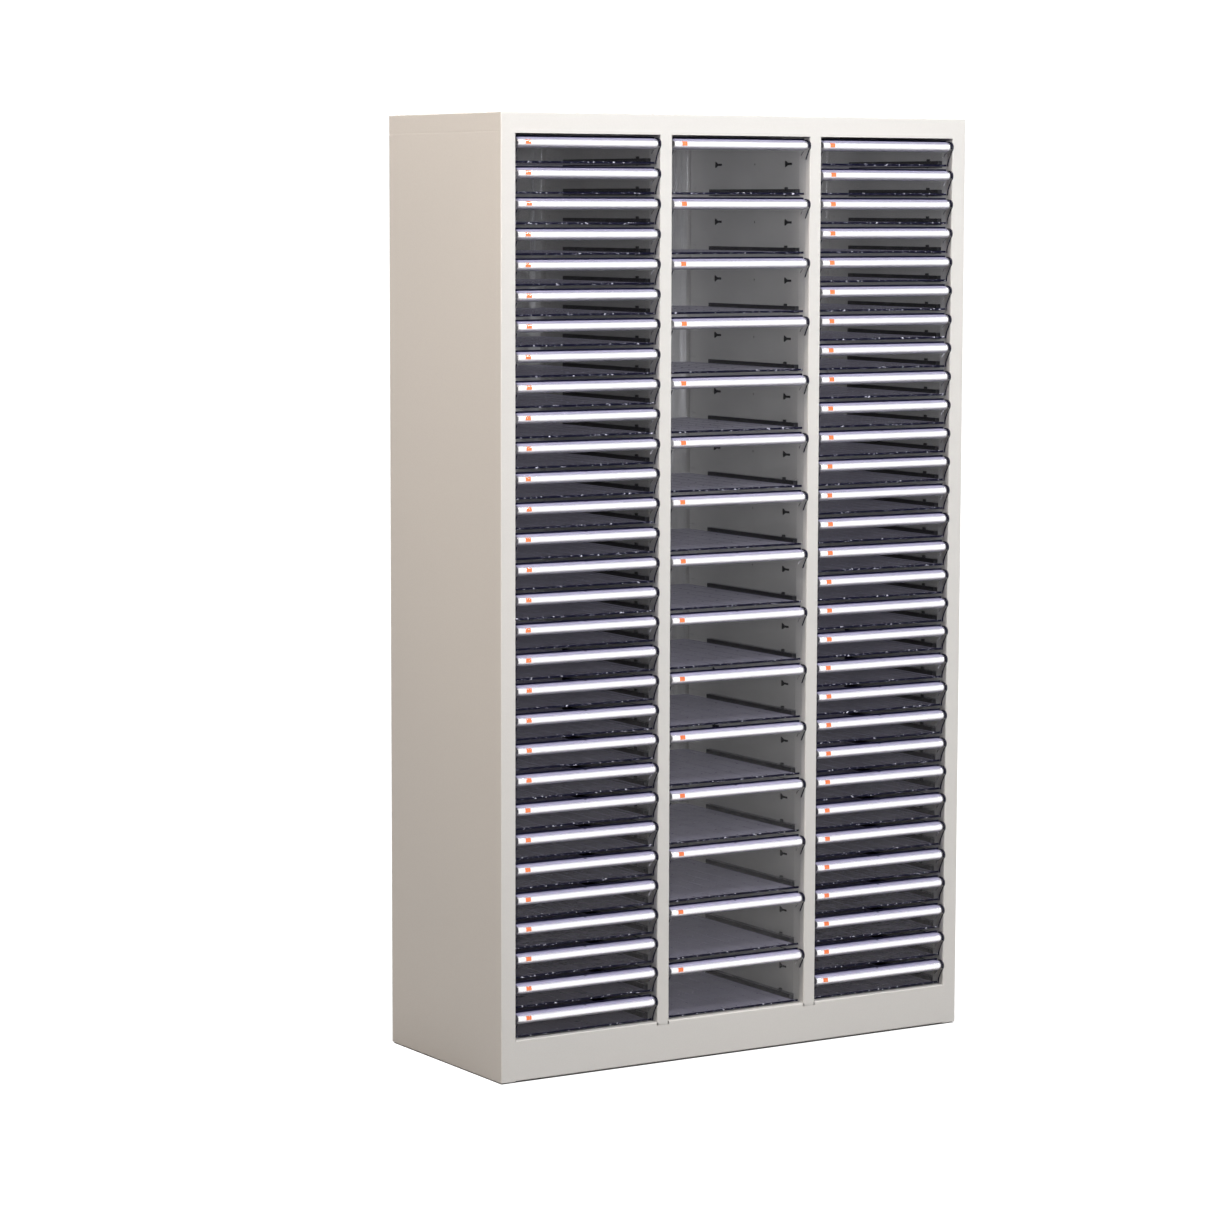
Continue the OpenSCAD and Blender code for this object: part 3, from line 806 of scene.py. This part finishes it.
def make_cover(name, cell_height):
    """Snap-on C section with tapered ends, a finger notch at the middle of its
    top and a small moulding hole near its right end."""
    bar_top, bar_mid, _ = bar_levels(cell_height)
    wall = 1.1
    section = bowed((BAR_HALF, COVER_DEPTH), (BAR_HALF - wall, COVER_DEPTH - wall),
                    BAR_BACK, bar_mid)
    stations = [(-COVER_HALF + s, scale) for s, scale in COVER_TAPER]
    stations += [(COVER_HALF - s, scale) for s, scale in reversed(COVER_TAPER)]
    cover = loft(name, [scaled_ring(section, x, scale, bar_mid) for x, scale in stations])
    notch = [[at(x, d, z) for x, d in oval(0.0, 6.6, 2.4, 2.0, 20)]
             for z in (bar_top - 3.0, bar_top + 2)]
    boolean(cover, loft("notch", notch), "DIFFERENCE")
    hole = [[at(x, d, z) for x, z in oval(COVER_HALF - 9.0, bar_mid + 4.4, 0.9, 0.9, 30)]
            for d in (-8.0, 4.5)]
    boolean(cover, loft("hole", hole), "DIFFERENCE")
    shade(cover.data, 40.0)
    cover.data.materials.clear()
    cover.data.materials.append(COVER)
    return cover


def strip_scale(x):
    """Scale of the strip section at x."""
    s = COVER_HALF - abs(x)
    scale = 1.0
    for (s0, scale0), (s1, scale1) in zip(STRIP_TAPER, STRIP_TAPER[1:]):
        if s0 <= s <= s1:
            scale = scale0 + (scale1 - scale0) * (s - s0) / (s1 - s0)
    return scale


def make_strip(name, cell_height, inset, thickness, curve, xs, mat):
    """A strip bowed to the inside of the cover, which narrows with it towards the
    ends. Inset and thickness are (height, depth); the curve is (low, high, steps)."""
    bar_mid = bar_levels(cell_height)[1]
    half, depth = BAR_HALF - inset[0], COVER_DEPTH - inset[1]
    section = bowed((half, depth), (half - thickness[0], depth - thickness[1]),
                    BAR_BACK, bar_mid, *curve)
    stations = sorted({*xs} | {x for s, _ in STRIP_TAPER for x in (-COVER_HALF + s, COVER_HALF - s)
                               if xs[0] < x < xs[1]})
    strip = loft(name, [scaled_ring(section, x, strip_scale(x), bar_mid) for x in stations])
    shade(strip.data, 40.0)
    strip.data.materials.append(mat)
    return strip


def make_card(name, cell_height):
    return make_strip(name, cell_height, inset=(1.5, 1.7), thickness=(0.3, 0.35),
                      curve=(-40.0, 66.0, 16), xs=(-COVER_HALF + 1.2, COVER_HALF - 1.2), mat=CARD)


def make_tab(name, cell_height):
    """Short coloured strip in front of the card, near its left end."""
    return make_strip(name, cell_height, inset=(1.22, 1.3), thickness=(0.22, 0.28),
                      curve=(-16.0, 34.0, 8), xs=(-COVER_HALF + 12.0, -COVER_HALF + 20.6), mat=TAB)


DRAWER_PARTS = {
    "tray": (make_tray, "smoke_plastic"),
    "cover": (make_cover, "clear_cover"),
    "card": (make_card, "card_white"),
    "tab": (make_tab, "tab_orange"),
}
protos = {
    kind: {part: to_metres(build(f"proto_{part}_{kind}", cell_height))
           for part, (build, _) in DRAWER_PARTS.items()}
    for kind, cell_height in (("low", PITCH), ("tall", 2 * PITCH))
}


def place_drawer(kind, label, x, z, node):
    for part, proto in protos[kind].items():
        obj = link_object(f"{part}_{label}", proto.data)
        obj.location = (x, 0.0, z)
        if part == "tab":
            # every tab sits a little differently
            shift = random.Random(label).uniform(-0.8, 1.6) * MM
            obj.location = (x + shift, -0.15 * MM, z)
        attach(obj, node)
        if part == "tray":
            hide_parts(node)


for node in sorted(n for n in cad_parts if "_drawer" in n):
    lo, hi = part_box(node)
    x = (lo.x + hi.x) / 2
    z = lo.z - TRAY_Z * MM
    column = node.split("_")[0]
    if column == "middle":
        place_drawer("tall", f"middle_{node[-2:]}", x, z, node)
    else:
        # the outer columns hold two low drawers to a node
        upper, lower = node.split("_")[2:]
        place_drawer("low", f"{column}_{lower}", x, z, node)
        place_drawer("low", f"{column}_{upper}", x, z + PITCH * MM, node)

for kind in protos.values():
    for obj in kind.values():
        bpy.data.objects.remove(obj)

# ---------------------------------------------------------------- CAD finishes
SNAP = 0.15     # allowance when a face is matched to a sheet surface, mm


def from_partition(x):
    """Distance to the right of the middle of the partition on the same side."""
    return x - math.copysign(COL_X / 2, x)


def hidden_side(name, centre, normal):
    """Faces inside the hollow partitions and behind the liners, which never
    see light: they are painted black as shade and read as black through the hook slots."""
    x = centre.x / MM
    if "partition" in name:
        off = from_partition(x)
        return abs(off) < HALF_P - SHEET + SNAP and off * normal.x < -5.0
    if "liner" in name:
        return abs(x) > WALL_X + SHEET - SNAP and x * normal.x > 0
    if "side_panel" in name:
        return CASE_HALF - abs(x) < SHEET + SNAP and x * normal.x < 0
    return False


def lit_inside(name, centre, normal):
    """Faces that look into the tray spaces."""
    x, d = centre.x / MM, centre.y / MM - FRONT
    if name == "back_panel":
        return normal.y < -0.9
    if "partition" in name:
        return abs(normal.x) > 0.9 and from_partition(x) * normal.x > 0 and d > 5
    if "liner" in name:
        return abs(x) < WALL_X + SHEET / 2 and x * normal.x < 0
    return False


SHEET_FINISHES = (PAINT, UNLIT, PAINT_INSIDE_GLOW, PAINT_MIDDLE_GLOW)


def sheet_finish(name, centre, normal):
    if hidden_side(name, centre, normal):
        return UNLIT
    if lit_inside(name, centre, normal):
        if "partition" in name and abs(centre.x / MM) < COL_X / 2:
            return PAINT_MIDDLE_GLOW
        return PAINT_INSIDE_GLOW
    return PAINT


def finish_sheet(name, obj):
    """Paint a sheet-steel piece by face and even out its shading."""
    for mat in SHEET_FINISHES:
        obj.data.materials.append(mat)
    for face in obj.data.polygons:
        face.material_index = SHEET_FINISHES.index(sheet_finish(name, face.center, face.normal))
    obj.modifiers.new("weld", "WELD").merge_threshold = 0.00001
    if name == "top_cap":
        add_bevel(obj, width=0.0003, degrees=50)
    weight_normals(obj)


SMALL_PARTS = {"glides": GLIDE, "back_rivets": RIVET}
for name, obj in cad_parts.items():
    if obj.hide_render:
        continue
    obj.data.materials.clear()
    if "runners" in name:
        obj.data.materials.append(RUNNER)
    elif name in SMALL_PARTS:
        obj.data.materials.append(SMALL_PARTS[name])
    else:
        finish_sheet(name, obj)


# ---------------------------------------------------------------- filled joints
def filled_joint(name, xs, zs):
    """Paint-filled butt joint between two folded edges, a hair behind the
    front face, with eased edges."""
    front, rear, ease = 0.03, 1.4, 0.12
    rings = []
    for d, k in ((rear, 0.0), (front + ease, 0.0), (front, ease)):
        rings.append([at(xs[0] + k, d, zs[0] + k), at(xs[1] - k, d, zs[0] + k),
                      at(xs[1] - k, d, zs[1] - k), at(xs[0] + k, d, zs[1] - k)])
    obj = to_metres(loft(name, rings))
    obj.data.materials.append(PAINT)
    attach(obj, "cabinet")


BASE_ZS = (PLINTH_LO.z + 1.2, PLINTH_HI.z - 2.2)
RAIL_ZS = (RAIL_Z - 0.4, RAIL_Z + FOLD + 0.4)
for side, label in ((-1, "left"), (1, "right")):
    filled_joint(f"joint_base_{label}", span(side, WALL_X + FOLD + 0.6, WALL_X - 0.6), BASE_ZS)
    filled_joint(f"joint_rail_{label}", span(side, CASE_HALF - 1.2, WALL_X + FOLD), RAIL_ZS)
    filled_joint(f"joint_stile_{label}",
                 span(side, COL_X / 2 + HALF_P - FOLD, COL_X / 2 - HALF_P + FOLD), RAIL_ZS)


# ---------------------------------------------------------------- plain materials
def plain_copy(name, colour, alpha):
    """A plain material of nearly the same look, for a program that can't read
    a mix of shaders."""
    mat, tree = new_material(name)
    look = {"Base Color": rgba(colour), "Roughness": 0.2, "Alpha": alpha}
    return finish(mat, add(tree, "BsdfPrincipled", look).outputs["BSDF"])


PLAIN = {
    SMOKE.name: plain_copy("plain_smoke", (0.30, 0.30, 0.36), alpha=0.12),
    SMOKE_REAR.name: plain_copy("plain_rear", (0.62, 0.62, 0.68), alpha=0.30),
    SMOKE_FLOOR.name: plain_copy("plain_floor", (0.155, 0.147, 0.205), alpha=0.85),
    SMOKE_FLOOR_TALL.name: plain_copy("plain_floor_tall", (0.20, 0.19, 0.25), alpha=0.80),
    COVER.name: plain_copy("plain_cover", (0.85, 0.85, 0.92), alpha=0.18),
}
# each mesh holds the plain material, and each object shows the full one
full = [(obj, [slot.material for slot in obj.material_slots])
        for obj in bpy.data.objects if obj.type == "MESH"]
for obj, mats in full:
    for i, mat in enumerate(mats):
        if mat is not None and mat.name in PLAIN:
            obj.data.materials[i] = PLAIN[mat.name]
for obj, mats in full:
    for slot, mat in zip(obj.material_slots, mats):
        if mat is not None and mat.name in PLAIN:
            slot.link = "OBJECT"
            slot.material = mat


# ---------------------------------------------------------------- stage, metres
def studio_material():
    """Pale ground that looks nearly white to the camera but reflects little."""
    mat, tree = new_material("studio_white")
    colour = ramp(tree, noise(tree, scale=1.5),
                  [(0.3, (0.30, 0.295, 0.29)), (0.7, (0.32, 0.315, 0.31))])
    ground = add(tree, "BsdfDiffuse", {"Color": colour}).outputs["BSDF"]
    glow = add(tree, "Emission", {"Color": (1, 1, 1, 1), "Strength": 1.36}).outputs["Emission"]
    seen = camera_ray(tree)
    # the strip of floor seen in the gap under the base stays dark
    place = split_xyz(tree, position(tree))
    beyond = [math_node(tree, "GREATER_THAN", math_node(tree, "ABSOLUTE", place[axis]), half)
              for axis, half in (("X", 0.4095), ("Y", 0.1635))]
    clear = math_node(tree, "MAXIMUM", *beyond)
    lit = math_node(tree, "MULTIPLY", seen, clear)
    glow_share = math_node(tree, "MULTIPLY", lit, 0.84)
    return finish(mat, mix_shaders(tree, glow_share, ground, glow))


def stage_floor():
    """A pale floor that curves up into a pale wall far behind."""
    near, bend_start, radius, wall_top, half_width = -9.0, 7.0, 3.0, 12.0, 14.0
    below = 0.0002      # keeps the floor just under the cabinet
    profile = [(near, 0.0)]
    profile += [(bend_start + radius * math.sin(math.radians(a)),
                 radius - radius * math.cos(math.radians(a))) for a in range(0, 91, 6)]
    profile += [(bend_start + radius, wall_top)]
    verts = [(x, y, z - below) for x in (-half_width, half_width) for y, z in profile]
    n = len(profile)
    faces = [(i, i + 1, n + i + 1, n + i) for i in range(n - 1)]
    obj = new_object("studio_floor", verts, faces)
    shade(obj.data, 60)
    obj.rotation_euler = (0, 0, -math.radians(31.6))
    obj.data.materials.append(studio_material())


def studio_world():
    """White to the camera; a dim warm-to-white gradient to everything else."""
    world = bpy.data.worlds.new("studio")
    scene.world = world
    world.use_nodes = True
    tree = world.node_tree
    tree.nodes.clear()
    direction = add(tree, "TexCoord").outputs["Generated"]
    height = map_range(tree, split_xyz(tree, direction)["Z"], source=(-0.3, 0.9))
    sky = ramp(tree, height, [(0.0, (0.31, 0.285, 0.26)), (1.0, (0.98, 0.96, 0.95))])
    rays = add(tree, "LightPath").outputs
    # strength for other rays, then for glossy ones
    strength = map_range(tree, rays["Is Glossy Ray"], target=(0.22, 0.16))
    light = add(tree, "Background", {"Color": sky, "Strength": strength})
    backdrop = add(tree, "Background", {"Color": (1, 1, 1, 1), "Strength": 1.0})
    mixed = mix_shaders(tree, rays["Is Camera Ray"], light.outputs["Background"],
                        backdrop.outputs["Background"])
    add(tree, "OutputWorld", {"Surface": mixed})


stage_floor()
studio_world()

# ---------------------------------------------------------------- lights
WHITE, COOL, COOLER = (1, 1, 1), (0.98, 0.99, 1.0), (0.96, 0.98, 1.0)
WARM, WARMER, SOFT_WARM = (1.0, 0.90, 0.81), (1.0, 0.895, 0.80), (1.0, 0.98, 0.96)
# name, place, target, size, power in W, colour, spread in degrees
LIGHTS = [
    ("key", (0.5, -3.0, 3.3), (0.0, 0.0, 1.2), (1.8, 1.2), 90, COOL, 180),
    ("front_soft", (-2.1, -4.3, 2.0), (0.0, 0.0, 1.1), (1.8, 1.6), 20, COOL, 180),
    ("near_top", (0.0, -1.9, 2.9), (0.0, 0.0, 0.9), (1.8, 1.0), 36, COOL, 180),
    ("front_lift", (-0.3, -3.0, 1.5), (0.0, 0.0, 0.95), (1.0, 0.5), 1.5, COOLER, 60),
    ("side_lift", (-3.2, -0.4, 1.5), (-0.41, 0.0, 1.02), (0.8, 0.5), 1.6, WARM, 60),
    ("side_fill", (-2.3, -0.4, 2.9), (-0.4, 0.0, 1.2), (1.0, 1.0), 61, WARMER, 180),
    # the right side and the rear
    ("right_fill", (3.1, -0.1, 2.7), (0.41, 0.0, 0.8), (1.2, 1.2), 62, SOFT_WARM, 180),
    ("rear_fill", (0.9, 3.3, 2.8), (0.0, 0.17, 0.8), (1.6, 1.2), 85, SOFT_WARM, 180),
    ("top_soft", (0.0, 0.3, 3.4), (0.0, 0.0, 1.2), (2.4, 1.6), 14, WHITE, 180),
]
for name, place, target, size, power, colour, spread in LIGHTS:
    light = bpy.data.lights.new(name, "AREA")
    light.spread = math.radians(spread)
    light.shape = "RECTANGLE"
    light.size, light.size_y = size
    light.energy = power
    light.color = colour
    lamp = link_object(name, light)
    lamp.location = place
    aim = Vector(target) - Vector(place)
    lamp.rotation_euler = aim.to_track_quat("-Z", "Y").to_euler()

# ---------------------------------------------------------------- camera
CAMERA_PLACE = (-3.1479, -4.8579, 1.2722)
# degrees: turned right from +Y, tilted down, rolled about the view
CAMERA_ANGLES = (31.8513, 6.0466, 0.1348)

cam_data = bpy.data.cameras.new("camera")
cam = link_object("camera", cam_data)
scene.camera = cam
cam_data.sensor_width = 36.0
cam_data.lens = 113.222
cam_data.clip_end = 60.0
yaw, pitch, roll = (math.radians(a) for a in CAMERA_ANGLES)
forward = Vector((math.sin(yaw) * math.cos(pitch), math.cos(yaw) * math.cos(pitch),
                  -math.sin(pitch)))
level_right = Vector((math.cos(yaw), -math.sin(yaw), 0.0))
level_up = level_right.cross(forward)
right = level_right * math.cos(roll) + level_up * math.sin(roll)
up = -level_right * math.sin(roll) + level_up * math.cos(roll)
rows = [(right[i], up[i], -forward[i], CAMERA_PLACE[i]) for i in range(3)]
cam.matrix_world = Matrix((*rows, (0, 0, 0, 1)))

# ---------------------------------------------------------------- render
scene.view_settings.view_transform = "Standard"
scene.view_settings.look = "None"
# enough bounces to see through the whole stack of clear trays
scene.cycles.transparent_max_bounces = 48
scene.cycles.max_bounces = 10
scene.cycles.caustics_reflective = False
scene.cycles.caustics_refractive = False
